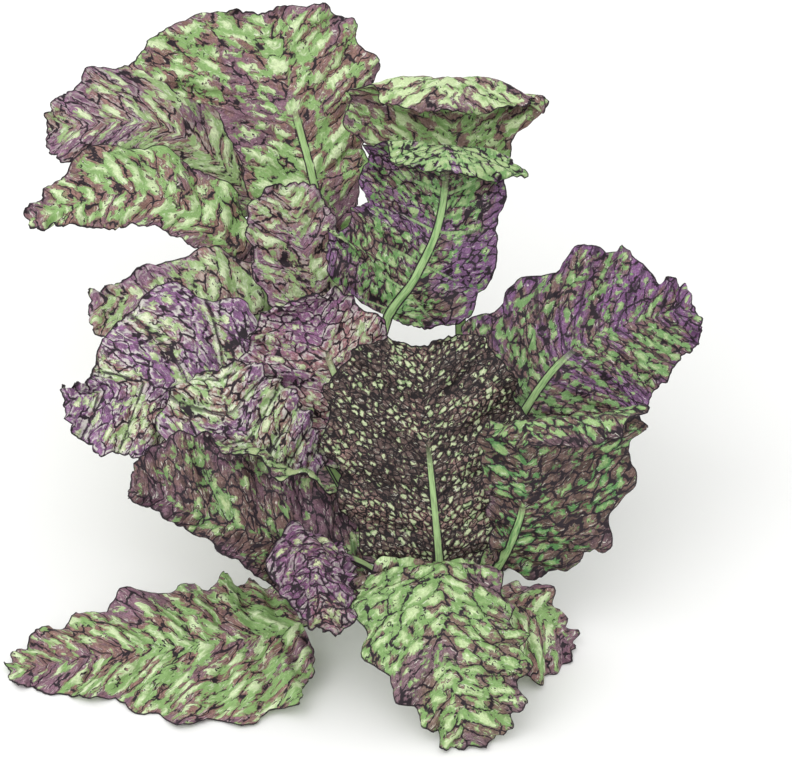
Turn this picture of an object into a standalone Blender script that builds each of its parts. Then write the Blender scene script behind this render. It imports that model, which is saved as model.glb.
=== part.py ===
"""A head of red mustard greens, cut at the root and set down on its cut face.

Twenty leaves grow from one short crown. Each leaf is a single solid: a thick channelled
stalk runs on as the midrib of a thin, pleated, scalloped blade. Metres, +Z up, and the origin
is the middle of the cut face, on the surface that the head stands on.
"""

import math

import bmesh
import bpy
import numpy as np

MM = 0.001

# Crown: the short stem that carries every leaf, as (radius, height) from the top down.
CROWN_PROFILE = ((0.0, 41.0), (6.0, 39.5), (10.5, 35.0), (13.5, 28.0), (15.5, 20.0),
                 (16.0, 11.0), (15.0, 4.0), (13.5, 0.0), (0.0, 0.0))
CROWN_SIDES = 24
ROOT_GAP = 0.5           # clear space between a stalk's foot and the crown

# Blade and stalk sections
BLADE_THICK = 0.8
STALK_THICK = 4.6        # at the foot, tapering along the midrib
RIB_TIP_THICK = 1.2
STALK_HALF = 3.8         # half the stalk's width at the crown
NECK_HALF = 3.2          # half its width where the blade begins
RIB_HALF = 2.6           # half the midrib's width on the blade, at its base
FLOOR_CLEAR = 0.1        # how far a leaf that lies down stays above the surface

# Outline of a blade, the same rule for all
LAST_VEIN = 0.965        # the last side vein, as a share of the way round the margin
WIDEST_SHIFT = 1.25      # moves the widest place beyond the middle
BASE_POWER = 1.0         # above 1 the base narrows into the stalk, below 1 it is blunt
TIP_POWER = 0.72         # below 1 the tip is broad and round
SCALLOP = 0.07           # depth of the margin's scallops, as a share of the half width

# Mesh: cells along the stalk, along the blade, and across
STALK_ROWS = 4
BLADE_ROWS = 18
COLUMNS = (-1.0, -0.72, -0.4, -0.1, 0.0, 0.1, 0.4, 0.72, 1.0)
FOLDED_COLUMNS = (-1.0, -0.84, -0.68, -0.5, -0.28, -0.08, 0.0, 0.08, 0.28, 0.5, 0.68, 0.84, 1.0)

# Leaf stations are in millimetres on axes that lean back: across is +X, up is the direction
# between +Z and +Y that LEAN gives, and back points away at right angles to both.
LEAN = math.radians(35)

GREEN, PURPLE, DARK = "leaf_green", "leaf_purple", "leaf_dark"
FINISHES = {                       # base colour, roughness
    GREEN: ((0.33, 0.50, 0.20, 1.0), 0.55),
    PURPLE: ((0.24, 0.14, 0.22, 1.0), 0.55),
    DARK: ((0.12, 0.07, 0.08, 1.0), 0.5),
    "crown": ((0.50, 0.62, 0.33, 1.0), 0.5),
}


def leaf(name, tone, root, stations, blade, widths, heading, roll=(0, 0), cup=(12, 12), **more):
    """One leaf's driving dimensions.

    root      azimuth in degrees and height on the crown
    stations  points of the midrib beyond the root, on the leaning axes
    blade     length of the blade; the rest of the midrib's length is stalk
    widths    half widths of the counterclockwise and clockwise halves, seen from above
    heading   azimuth that the leaf faces away to, at its foot and at its tip
    roll      turn about the midrib at foot and tip; positive lifts the counterclockwise half
    cup       how far each half bends up towards its margin, in degrees
    fold      a further bend of each half, over the stretch that crease gives
    notch     how far each half's shoulder stands forward of the tip's rounding
    trim      what is left of each half's width, at even steps from base to tip
    """
    spec = dict(name=name, tone=tone, root=root, stations=stations, blade=blade, widths=widths,
                heading=heading, roll=roll, cup=cup, fold=(0, 0), crease=(0.45, 0.9), curl=0,
                curl_length=40, fan=1.5, notch=(0, 0), pleats=7, pleat=2.2, ruffle=3.0, phase=0.0,
                base=BASE_POWER, trim=((1,) * 6, (1,) * 6), lies=False)
    spec.update(more)
    return spec


LEAVES = (
    # Tall leaves at the back
    leaf("leaf_back_tall", GREEN, (102, 17), ((-28, 100, 36), (-55, 179, 58), (-82, 290, 64),
         (-107, 374, 58)), 152, (80, 54), (112, 112), (-4, -4), (10, 6), pleats=8, phase=0.3,
         notch=(14, 0), trim=((0.5, 0.52, 0.55, 0.58, 0.6, 0.52, 0.6, 1.2, 1.3, 1.0, 0.9),
         (0.45, 0.6, 0.72, 1.0, 1.1, 0.9))),
    leaf("leaf_back_curled", GREEN, (70, 17), ((13, 100, 32), (13, 182, 44), (10, 262, 46),
         (6, 330, 42), (6, 368, 38)), 150, (62, 62), (90, 86), (0, 0), (14, 30), curl=165,
         curl_length=58, phase=0.2, base=0.9, fan=1.3, trim=((0.4, 0.6, 0.8, 1, 0.95, 1),
         (0.3, 0.35, 0.42, 0.48, 0.52, 0.62, 0.95, 1.02, 1.15, 1.2, 1.2))),
    leaf("leaf_back_folded", PURPLE, (86, 27), ((-26, 100, 6), (-35, 174, 16), (-14, 212, 14),
         (1, 250, 12), (7, 320, 14)), 142, (63, 43), (92, 88), (0, 0), (8, 20), curl=165,
         curl_length=52, phase=0.3, base=0.75, fan=1.3,
         trim=((1.5, 1.9, 1.75, 1.12, 0.86, 0.76, 0.75, 0.78, 0.74, 0.8, 0.9),
         (1.1, 1.12, 1.15, 1.12, 1.05, 0.82, 0.74, 0.85, 1.3, 2.1, 2.9))),
    # Leaves that lean out to the far left
    leaf("leaf_far_left_upper", GREEN, (132, 18), ((-50, 100, 48), (-86, 190, 80),
         (-122, 268, 100), (-176, 308, 106), (-244, 306, 104)), 155, (38, 40), (130, 178),
         (-20, -30), (8, 8), phase=0.4, base=0.8, trim=((1, 1, 1, 1, 1, 1),
         (1, 1, 1, 1, 0.8, 0.8))),
    leaf("leaf_far_left_lower", GREEN, (146, 9), ((-62, 90, 30), (-104, 170, 50), (-134, 236, 66),
         (-190, 264, 74), (-253, 247, 76)), 155, (30, 32), (135, 182), (-20, -28), (-4, 6),
         phase=3.3, base=0.8, trim=((0.6, 0.6, 0.62, 0.72, 0.4, 0.3), (1, 1, 1, 1, 0.65, 0.5))),
    leaf("leaf_left_back", GREEN, (160, 18), ((-60, 90, 14), (-98, 154, 20), (-148, 198, 24),
         (-212, 197, 28)), 125, (36, 38), (140, 185), (-24, -30), (-4, 8), phase=3.0, base=0.8,
         trim=((1, 1, 1, 1, 1, 1), (1, 1.4, 1.25, 0.45, 0.28, 0.35))),
    leaf("leaf_young_left", GREEN, (118, 27), ((-42, 105, 20), (-74, 200, 34), (-93, 268, 40)),
         100, (34, 22), (115, 115), (0, 0), (10, 10), pleats=6, phase=0.1, base=0.8),
    # Broad leaves on the left
    leaf("leaf_left_broad", PURPLE, (150, 27), ((-50, 86, -4), (-98, 128, -14), (-160, 148, -18),
         (-224, 136, -26)), 156, (54, 56), (155, 180), (-30, -34), (6, 8), phase=3.1, pleats=8,
         base=0.8, trim=((1, 1, 1, 0.95, 0.85, 0.9),
         (1, 1, 1, 1, 1, 1, 0.95, 0.55, 0.1, 0.3, 0.8))),
    leaf("leaf_left_fan", PURPLE, (172, 35), ((-39, 59, -26), (-94, 94, -44), (-122, 128, -42),
         (-131, 155, -38)), 94, (54, 56), (150, 114), (-20, -22), (8, 8), fan=1.6, phase=0.2,
         base=0.7, trim=((1, 1, 0.9, 0.8, 0.8, 0.9), (0.8, 0.75, 0.68, 0.6, 0.6, 0.8))),
    leaf("leaf_left_trough", DARK, (188, 25), ((-44, 28, -40), (-104, 56, -70), (-181, 87, -88)),
         158, (34, 74), (182, 182), (-26, -30), (4, 34), fold=(0, 130), crease=(0.5, 0.8),
         phase=2.9, base=0.8, ruffle=1.5, trim=((1.2, 1.1, 0.9, 0.35, 0.3, 0.5),
         (0.4, 0.65, 0.9, 0.8, 0.65, 0.6))),
    leaf("leaf_inner_left", PURPLE, (134, 35), ((-30, 85, -12), (-60, 145, -18), (-82, 204, -14)),
         112, (48, 48), (125, 118), (-18, -20), (8, 8), curl=70, curl_length=30, phase=3.4,
         base=0.8, trim=((1, 1, 1, 1, 1, 1), (1, 1, 0.95, 0.75, 0.55, 0.6))),
    # Heart of the head
    leaf("leaf_heart", DARK, (272, 38), ((-2, 56, -44), (-8, 116, -62), (-12, 168, -76)), 146,
         (57, 54), (90, 90), (0, 0), (12, 12), notch=(9, 9), phase=0.3, pleat=1.6, base=0.75,
         trim=((1, 1, 1, 1, 1, 1), (0.7, 0.8, 1, 1, 1, 1))),
    # Leaves on the right
    leaf("leaf_right_broad", PURPLE, (50, 27), ((26, 70, -14), (50, 130, -18), (88, 172, -12),
         (152, 192, -8)), 154, (57, 64), (58, 30), (20, 26), (6, 8), pleats=9, phase=3.0, base=0.7,
         trim=((2.3, 2.4, 1.9, 1.35, 1.02, 0.88, 0.93, 0.9, 0.45, 0.65, 0.9),
         (1, 1, 1, 0.85, 0.55, 0.7))),
    leaf("leaf_right_inner", DARK, (8, 34), ((33, 37, -31), (48, 76, -68), (48, 124, -92),
         (46, 156, -98)), 138, (24, 85), (80, 92), (0, 0), (10, -8), curl=150, curl_length=48,
         phase=3.2, base=0.7, fan=1.3, trim=((0.4, 0.5, 0.9, 1, 1, 1),
         (1.0, 0.72, 0.7, 0.7, 1.0, 1.3))),
    # Leaves at the front, which arch over and come down to the surface
    leaf("leaf_front_drooping", GREEN, (268, 26), ((-2, 30, -52), (0, 41, -78), (2, -6, -102),
         (16, -64, -94)), 124, (48, 56), (270, 272), (0, 0), (-10, -14), fan=1.9, pleats=8,
         phase=0.2, base=0.6, lies=True, trim=((0.9, 0.9, 0.9, 0.9, 0.8, 0.8),
         (1.5, 1.35, 0.98, 0.54, 0.36, 0.5))),
    leaf("leaf_front_right", GREEN, (314, 20), ((22, 20, -40), (52, 13, -40), (79, -12, -22)), 84,
         (17, 38), (322, 315), (-18, -10), (-8, -8), fan=1.7, phase=0.1, base=0.7, lies=True,
         trim=((2.2, 2.3, 1.6, 1.0, 0.8, 1), (1, 1, 1, 1, 0.9, 0.9))),
    leaf("leaf_front_small", PURPLE, (228, 25), ((-28, 28, -44), (-54, 45, -62), (-72, 43, -90),
         (-66, 4, -112)), 78, (20, 34), (215, 262), (-20, -24), (-10, -10), phase=3.3, base=0.7,
         trim=((1, 1, 1, 1, 1, 1), (0.7, 0.8, 0.85, 0.65, 0.35, 0.4))),
    leaf("leaf_front_left_long", GREEN, (206, 9), ((-40, 16, -24), (-114, -4, -40),
         (-186, -12, -37), (-255, -24, -38)), 176, (62, 52), (196, 184), (-12, -14), (-4, -6),
         pleats=9, phase=0.2, base=0.5, lies=True, trim=((1.0, 1.25, 1.0, 0.55, 0.35, 0.35),
         (1.2, 1.2, 0.95, 0.72, 0.5, 0.5))),
    # Low leaves at the rear, which carry the head on that side
    leaf("leaf_rear_left", GREEN, (110, 7), ((-26, 26, 60), (-54, 64, 108), (-78, 104, 146)), 125,
         (48, 44), (118, 115), (0, 0), (-8, -8), phase=0.1, lies=True),
    leaf("leaf_rear_right", GREEN, (62, 7), ((24, 28, 56), (48, 62, 96), (72, 94, 124)), 110,
         (42, 44), (62, 64), (0, 0), (-8, -8), phase=0.2, lies=True),
)


def smooth(t):
    t = np.clip(t, 0.0, 1.0)
    return t * t * (3.0 - 2.0 * t)


def crown_radius(height):
    profile = [(h, r) for r, h in CROWN_PROFILE[1:-1]][::-1]
    return float(np.interp(height, [h for h, _ in profile], [r for _, r in profile]))


def from_leaning(across, up, back):
    return (across, up * math.sin(LEAN) + back * math.cos(LEAN),
            up * math.cos(LEAN) - back * math.sin(LEAN))


def spline(points, steps=240):
    """An even walk along a Catmull-Rom curve through the points."""
    points = np.array(points, float)
    ends = np.vstack([2 * points[0] - points[1], points, 2 * points[-1] - points[-2]])
    walk = []
    for i in range(len(points) - 1):
        a, b, c, d = ends[i:i + 4]
        t = np.linspace(0.0, 1.0, 60)[:, None]
        walk.append(0.5 * (2 * b + (c - a) * t + (2 * a - 5 * b + 4 * c - d) * t**2
                           + (3 * b - a - 3 * c + d) * t**3))
    walk = np.vstack(walk)
    steps_along = np.linalg.norm(np.diff(walk, axis=0), axis=1)
    keep = np.concatenate([[True], steps_along > 1e-9])
    walk = walk[keep]
    along = np.concatenate([[0.0], np.cumsum(np.linalg.norm(np.diff(walk, axis=0), axis=1))])
    even = np.linspace(0.0, along[-1], steps)
    return even, np.column_stack([np.interp(even, along, walk[:, k]) for k in range(3)])


def turned(vectors, about, angles):
    """Each vector turned about its own axis (Rodrigues)."""
    c, s = np.cos(angles)[:, None], np.sin(angles)[:, None]
    dot = (vectors * about).sum(1, keepdims=True)
    return vectors * c + np.cross(about, vectors) * s + about * dot * (1 - c)


class Midrib:
    """The leaf's centre line with its frame: forward, side (counterclockwise) and up."""

    def __init__(self, spec):
        azimuth, height = math.radians(spec["root"][0]), spec["root"][1]
        stations = [from_leaning(*p) for p in spec["stations"]]
        reach = max(crown_radius(height + d) for d in (-3, 0, 3)) + ROOT_GAP
        foot = np.array([reach * math.cos(azimuth), reach * math.sin(azimuth), height])
        first = np.array(stations[0]) - foot
        climb = abs(first[2]) / np.linalg.norm(first)
        foot[:2] *= (reach + 0.55 * STALK_THICK * climb) / reach
        self.along, self.place = spline([foot, *stations])
        forward = np.gradient(self.place, axis=0)
        forward /= np.linalg.norm(forward, axis=1, keepdims=True)
        share = self.along / self.along[-1]
        h0, h1 = np.radians(spec["heading"])
        heading = h0 + (h1 - h0) * smooth(share * 1.4 - 0.3)
        side = np.column_stack([-np.sin(heading), np.cos(heading), 0 * heading])
        side -= forward * (side * forward).sum(1, keepdims=True)
        side /= np.linalg.norm(side, axis=1, keepdims=True)
        r0, r1 = np.radians(spec["roll"])
        side = turned(side, forward, r0 + (r1 - r0) * share)
        self.curl(spec, forward, side)
        self.length = self.along[-1]

    def curl(self, spec, forward, side):
        """Rolls the last stretch of the midrib towards the upper face."""
        start = self.along[-1] - spec["curl_length"]
        bend = np.radians(spec["curl"]) * smooth((self.along - start) / spec["curl_length"])
        self.forward = turned(forward, side, -bend)
        self.side = side
        self.up = np.cross(self.forward, self.side)
        step = self.along[1] - self.along[0]
        moved = np.cumsum((self.forward[1:] + self.forward[:-1]) / 2 * step, axis=0)
        self.place = np.where(bend[:, None] > 0, np.vstack([[0, 0, 0], moved]) + self.place[0],
                              self.place)
        if spec["curl"]:
            last = int(np.argmax(bend > 0)) - 1
            straight = self.place[0] + (moved[last - 1] if last > 0 else 0)
            self.place[last + 1:] += self.place[last] - straight

    def at(self, distance):
        """Place and frame at distances from the foot; beyond the tip it runs straight on."""
        inside = np.clip(distance, 0.0, self.length)
        rows = [np.column_stack([np.interp(inside, self.along, part[:, k]) for k in range(3)])
                for part in (self.place, self.forward, self.side, self.up)]
        rows[0] += rows[1] * (distance - inside)[:, None]
        return rows


def section(spec, side_index, width):
    """How one half of the blade bends: for a distance from the midrib, how far out, how far up
    and the slope there."""
    reach = np.linspace(0.0, 1.4 * width, 90)
    share = reach / width
    slope = (np.radians(spec["cup"][side_index]) * share
             + np.radians(spec["fold"][side_index])
             * smooth((share - spec["crease"][0]) / (spec["crease"][1] - spec["crease"][0])))
    step = reach[1]
    out = np.concatenate([[0.0], np.cumsum(np.cos(slope[1:]) * step)])
    rise = np.concatenate([[0.0], np.cumsum(np.sin(slope[1:]) * step)])
    return reach, out, rise, slope


def flat_points(spec, rows, columns, stalk_length):
    """Distance along and across the flat leaf, the vein number and how far out each point is.

    Rows below 0 cross the stalk, and rows from 0 to 1 follow the side veins to the margin.
    """
    row, column = np.meshgrid(rows, columns, indexing="ij")
    share = np.clip(row, 0.0, 1.0) * LAST_VEIN
    angle = math.pi * share
    shifted = np.sin(math.pi * share**WIDEST_SHIFT)
    power = spec["base"] + (TIP_POWER - spec["base"]) * share
    turns = 2 * math.pi * spec["pleats"] * share + spec["phase"]
    wave = 1 + SCALLOP * np.cos(turns) + 0.4 * SCALLOP * np.sin(0.43 * turns + 2)
    kept = [w * np.interp(share, np.linspace(0.0, 1.0, len(t)), t)
            for w, t in zip(spec["widths"], spec["trim"])]
    half = np.where(column > 0, kept[0], kept[1])
    foot_share = np.clip(-row, 0.0, 1.0)
    neck = NECK_HALF + (STALK_HALF - NECK_HALF) * foot_share
    margin_out = neck * (1 - share) + half * np.maximum(shifted, 0.0)**power * wave
    margin_along = spec["blade"] * (1 - np.cos(angle)) / 2
    notch = np.where(column > 0, *spec["notch"])
    margin_along = margin_along + notch * np.sin(angle) * share**3 * 4
    rib_along = spec["blade"] * np.clip(row, 0.0, 1.0)**spec["fan"]
    out = np.abs(column)
    along = rib_along + (margin_along - rib_along) * out**1.15
    along = np.where(row < 0, row * stalk_length, along)
    return along, column * margin_out, share, out


def leaf_surface(spec, rows, columns):
    """Middle surface of a leaf and its thickness, on the grid of rows and columns."""
    rib = Midrib(spec)
    stalk_length = rib.length - spec["blade"]
    along, across, share, out = flat_points(spec, rows, columns, stalk_length)
    shape = along.shape
    place, forward, side, up = rib.at(along.ravel() + stalk_length)
    sign = np.where(across.ravel() > 0, 1.0, -1.0)
    reach = np.abs(across.ravel())
    bends = [section(spec, k, spec["widths"][k]) for k in (0, 1)]
    outward, rise, slope = (np.where(sign > 0, np.interp(reach, bends[0][0], bends[0][k]),
                                     np.interp(reach, bends[1][0], bends[1][k]))
                            for k in (1, 2, 3))
    points = place + side * (sign * outward)[:, None] + up * rise[:, None]
    normal = up * np.cos(slope)[:, None] - side * (sign * np.sin(slope))[:, None]
    grown = smooth(share.ravel() / 0.12)
    turns = 2 * math.pi * spec["pleats"] * share.ravel() + spec["phase"]
    edge = out.ravel()
    height = grown * (spec["pleat"] * np.cos(turns) * smooth(edge / 0.5)
                      + spec["ruffle"] * np.sin(turns / 2 + 1.7 * sign) * edge**3)
    points = points + normal * height[:, None]
    thick = thickness(along.ravel() + stalk_length, reach, edge, stalk_length, rib.length)
    if spec["lies"]:
        points[:, 2] = laid_down(points[:, 2], thick / 2 + FLOOR_CLEAR)
    wrap_foot(points.reshape(*shape, 3), across, spec)
    return points.reshape(*shape, 3), thick.reshape(shape)


def thickness(distance, reach, edge, stalk_length, length):
    """Stalk and midrib stand out of the blade, and thin towards the tip."""
    rib = STALK_THICK + (RIB_TIP_THICK - STALK_THICK) * np.clip(distance / length, 0, 1)
    on_stalk = smooth((stalk_length * 1.02 - distance) / (0.12 * length))
    stalk = np.sqrt(np.clip(1.0 - 0.8 * edge**2, 0.0, 1.0))
    half = RIB_HALF * (1 - 0.7 * np.clip((distance - stalk_length) / length, 0, 1))
    ridge = np.exp(-(reach / half) ** 2)
    share = on_stalk * stalk + (1 - on_stalk) * ridge
    return np.maximum(BLADE_THICK, rib * share)


def laid_down(height, floor):
    """Presses whatever would sink below the surface flat onto it, with a soft start."""
    soft = 1.5
    over = (height - floor) / soft
    return floor + soft * np.where(over > 30, over, np.log1p(np.exp(np.minimum(over, 30))))


def wrap_foot(points, across, spec):
    """The stalk's foot clasps the crown: its first row follows the crown's round wall."""
    azimuth = math.radians(spec["root"][0])
    foot = points[0]
    middle = foot[len(foot) // 2]
    radius = math.hypot(middle[0], middle[1])
    turn = azimuth + across[0] / radius
    foot[:, 0], foot[:, 1] = radius * np.cos(turn), radius * np.sin(turn)
    foot[:, 2] = middle[2]


def collection(name):
    made = bpy.data.collections.new(name)
    bpy.context.scene.collection.children.link(made)
    return made


def material(name):
    colour, roughness = FINISHES[name]
    made = bpy.data.materials.new(name)
    made.use_nodes = True
    made.diffuse_color = colour
    shader = made.node_tree.nodes["Principled BSDF"]
    shader.inputs["Base Color"].default_value = colour
    shader.inputs["Roughness"].default_value = roughness
    shader.inputs["Metallic"].default_value = 0.0
    return made


def make_leaf(spec, home, materials):
    """A grid moved onto the leaf's surface, cut into triangles and given its thickness."""
    columns = np.array(FOLDED_COLUMNS if any(spec["fold"]) else COLUMNS)
    blade_rows = BLADE_ROWS + (2 if spec["curl"] else 0)
    rows = np.concatenate([np.linspace(-1, 0, STALK_ROWS + 1)[:-1],
                           np.linspace(0, 1, blade_rows + 1)])
    points, thick = leaf_surface(spec, rows, columns)
    mesh = bpy.data.meshes.new(spec["name"])
    grid = bmesh.new()
    weights = grid.verts.layers.deform.verify()
    bmesh.ops.create_grid(grid, x_segments=len(rows) - 1, y_segments=len(columns) - 1, size=1.0)
    places = {}
    for vert in grid.verts:
        i = round((vert.co.x + 1) / 2 * (len(rows) - 1))
        j = round((vert.co.y + 1) / 2 * (len(columns) - 1))
        places[vert] = (i, j)
    for vert, (i, j) in places.items():
        vert.co = points[i, j] * MM
        vert[weights][0] = float(thick[i, j] / STALK_THICK)
    bmesh.ops.triangulate(grid, faces=grid.faces, quad_method="ALTERNATE")
    grid.to_mesh(mesh)
    grid.free()
    mesh.shade_smooth()
    body = bpy.data.objects.new(spec["name"], mesh)
    home.objects.link(body)
    body.vertex_groups.new(name="thickness")
    solid = body.modifiers.new("thickness", "SOLIDIFY")
    solid.thickness = STALK_THICK * MM
    solid.offset = 0.0
    solid.vertex_group = "thickness"
    mesh.materials.append(materials[spec["tone"]])
    return body


def make_crown(home, finish):
    """The turned stem, with its flat cut face at the bottom."""
    mesh = bpy.data.meshes.new("crown")
    half = bmesh.new()
    verts = [half.verts.new((r * MM, 0.0, h * MM)) for r, h in CROWN_PROFILE]
    for a, b in zip(verts, verts[1:]):
        half.edges.new((a, b))
    half.to_mesh(mesh)
    half.free()
    body = bpy.data.objects.new("crown", mesh)
    home.objects.link(body)
    turn = body.modifiers.new("turn", "SCREW")
    turn.steps = turn.render_steps = CROWN_SIDES
    turn.use_merge_vertices = True
    turn.merge_threshold = 0.00001
    mesh.materials.append(finish)
    return body


def main():
    for old in list(bpy.data.objects):
        bpy.data.objects.remove(old, do_unlink=True)
    home = collection("red_mustard_greens")
    materials = {name: material(name) for name in FINISHES}
    make_crown(home, materials["crown"])
    for spec in LEAVES:
        make_leaf(spec, home, materials)


main()
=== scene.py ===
import math

import bpy
import numpy as np
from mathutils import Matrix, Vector


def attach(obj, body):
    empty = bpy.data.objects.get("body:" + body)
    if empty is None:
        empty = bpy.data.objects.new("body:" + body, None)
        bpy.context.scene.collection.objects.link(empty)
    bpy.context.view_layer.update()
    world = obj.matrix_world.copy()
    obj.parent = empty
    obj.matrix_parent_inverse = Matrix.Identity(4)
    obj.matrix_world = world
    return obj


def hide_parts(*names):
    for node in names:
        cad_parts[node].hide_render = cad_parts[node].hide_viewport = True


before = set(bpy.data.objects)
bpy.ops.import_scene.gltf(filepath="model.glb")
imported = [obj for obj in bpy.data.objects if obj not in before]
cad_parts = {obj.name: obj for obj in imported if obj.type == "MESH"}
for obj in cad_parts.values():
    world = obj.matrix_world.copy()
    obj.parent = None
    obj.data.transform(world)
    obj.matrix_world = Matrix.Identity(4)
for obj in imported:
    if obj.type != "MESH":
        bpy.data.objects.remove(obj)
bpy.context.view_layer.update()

mm = 0.001
lean = math.radians(35)      # the camera looks down by this much, and leaf stations lean with it


def fromLeaning(across, up, back):
    return (across, up * math.sin(lean) + back * math.cos(lean),
            up * math.cos(lean) - back * math.sin(lean))


def paint(red, green, blue):
    steps = [c / 255 for c in (red, green, blue)]
    return (*(((c + 0.055) / 1.055) ** 2.4 for c in steps), 1.0)


def smooth(t):
    t = np.clip(t, 0.0, 1.0)
    return t * t * (3.0 - 2.0 * t)


# Camera, light and floor

studio = {
    "distance": 2.6,                # metres from the head's middle to the camera
    "pictureWidth": 0.4752,         # metres across the picture there
    "sensorWidth": 36,              # mm
    "middle": (-26.4, 143.7, 0),    # mm on the leaning axes
    "floorSize": 14.0,
    "floorColour": (0.93, 0.93, 0.92, 1.0),
    "floorRoughness": 0.9,
    "skyColour": (1.0, 1.0, 1.0, 1.0),
    "skyStrength": 1.0,
    "keyPower": 34.0,
    "keySize": 2.6,
    "keyPlace": (-0.9, -1.5, 2.2),
}


def makeStudio():
    look = Vector(fromLeaning(*studio["middle"])) * mm
    back = Vector((0, -math.cos(lean), math.sin(lean)))
    lens = bpy.data.cameras.new("camera")
    lens.sensor_width = studio["sensorWidth"]
    lens.lens = studio["sensorWidth"] * studio["distance"] / studio["pictureWidth"]
    camera = bpy.data.objects.new("camera", lens)
    camera.location = look + back * studio["distance"]
    camera.rotation_euler = back.to_track_quat("Z", "Y").to_euler()

    light = bpy.data.lights.new("softbox", "AREA")
    light.energy = studio["keyPower"]
    light.size = studio["keySize"]
    softbox = bpy.data.objects.new("softbox", light)
    softbox.location = studio["keyPlace"]
    softbox.rotation_euler = (softbox.location - look).to_track_quat("Z", "Y").to_euler()

    half = studio["floorSize"] / 2
    sheet = bpy.data.meshes.new("floor")
    sheet.from_pydata([(-half, -half, 0), (half, -half, 0), (half, half, 0), (-half, half, 0)],
                      [], [(0, 1, 2, 3)])
    floor = bpy.data.objects.new("floor", sheet)
    plain = bpy.data.materials.new("paleFloor")
    plain.use_nodes = True
    shader = plain.node_tree.nodes["Principled BSDF"]
    shader.inputs["Base Color"].default_value = studio["floorColour"]
    shader.inputs["Roughness"].default_value = studio["floorRoughness"]
    sheet.materials.append(plain)
    for thing in (camera, softbox, floor):
        bpy.context.scene.collection.objects.link(thing)

    sky = bpy.data.worlds.new("softLight")
    sky.use_nodes = True
    background = sky.node_tree.nodes["Background"]
    background.inputs["Color"].default_value = studio["skyColour"]
    background.inputs["Strength"].default_value = studio["skyStrength"]
    scene = bpy.context.scene
    scene.world = sky
    scene.camera = camera
    scene.view_settings.view_transform = "Standard"


makeStudio()
print("studio: camera, softbox and floor")


# Node helpers, for shaders and Geometry Nodes alike

def feed(tree, target, value):
    if isinstance(value, bpy.types.NodeSocket):
        tree.links.new(value, target)
    else:
        target.default_value = value


def calc(tree, operation, *values):
    node = tree.nodes.new("ShaderNodeMath")
    node.operation = operation
    for target, value in zip(node.inputs, values):
        feed(tree, target, value)
    return node.outputs[0]


def vectorCalc(tree, operation, first, second):
    node = tree.nodes.new("ShaderNodeVectorMath")
    node.operation = operation
    feed(tree, node.inputs[0], first)
    feed(tree, node.inputs["Scale" if operation == "SCALE" else 1], second)
    return node.outputs[0]


def rise(tree, value, low, high):
    node = tree.nodes.new("ShaderNodeMapRange")
    node.interpolation_type = "SMOOTHSTEP"
    feed(tree, node.inputs["Value"], value)
    feed(tree, node.inputs["From Min"], low)
    feed(tree, node.inputs["From Max"], high)
    return node.outputs[0]


def mixed(tree, share, first, second, mode="MIX"):
    node = tree.nodes.new("ShaderNodeMix")
    node.data_type = "RGBA"
    node.blend_type = mode
    for index, value in ((0, share), (6, first), (7, second)):
        feed(tree, node.inputs[index], value)
    return node.outputs[2]


def noise(tree, place, scale, detail=3.0, roughness=0.55):
    node = tree.nodes.new("ShaderNodeTexNoise")
    for name, value in (("Vector", place), ("Scale", scale), ("Detail", detail),
                        ("Roughness", roughness)):
        feed(tree, node.inputs[name], value)
    return node.outputs["Fac"]


def stretched(tree, place, *sizes):
    node = tree.nodes.new("ShaderNodeCombineXYZ")
    for target, value in zip(node.inputs, sizes):
        feed(tree, target, value)
    return vectorCalc(tree, "DIVIDE", place, node.outputs[0])


def cells(tree, place, length, width, wanted="Distance"):
    node = tree.nodes.new("ShaderNodeTexVoronoi")
    node.feature = "DISTANCE_TO_EDGE" if wanted == "Distance" else "F1"
    feed(tree, node.inputs["Scale"], 1.0)
    feed(tree, node.inputs["Vector"], stretched(tree, place, length, width, 10.0))
    return node.outputs[wanted]


def wandering(tree, place, reach, scale):
    node = tree.nodes.new("ShaderNodeTexNoise")
    feed(tree, node.inputs["Vector"], place)
    feed(tree, node.inputs["Scale"], scale)
    feed(tree, node.inputs["Detail"], 2.0)
    centred = vectorCalc(tree, "SUBTRACT", node.outputs["Color"], (0.5, 0.5, 0.5))
    return vectorCalc(tree, "ADD", place, vectorCalc(tree, "SCALE", centred, reach))


def addSocket(tree, name, kind, value=None, out=False):
    made = tree.interface.new_socket(name=name, in_out="OUTPUT" if out else "INPUT",
                                     socket_type="NodeSocket" + kind)
    if value is not None:
        made.default_value = value


# The leaf: a closed sheet with stalk and midrib, from one rule for all

crownProfile = ((0.0, 41.0), (6.0, 39.5), (10.5, 35.0), (13.5, 28.0), (15.5, 20.0),
                (16.0, 11.0), (15.0, 4.0), (13.5, 0.0), (0.0, 0.0))    # radius and height, mm

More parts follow.
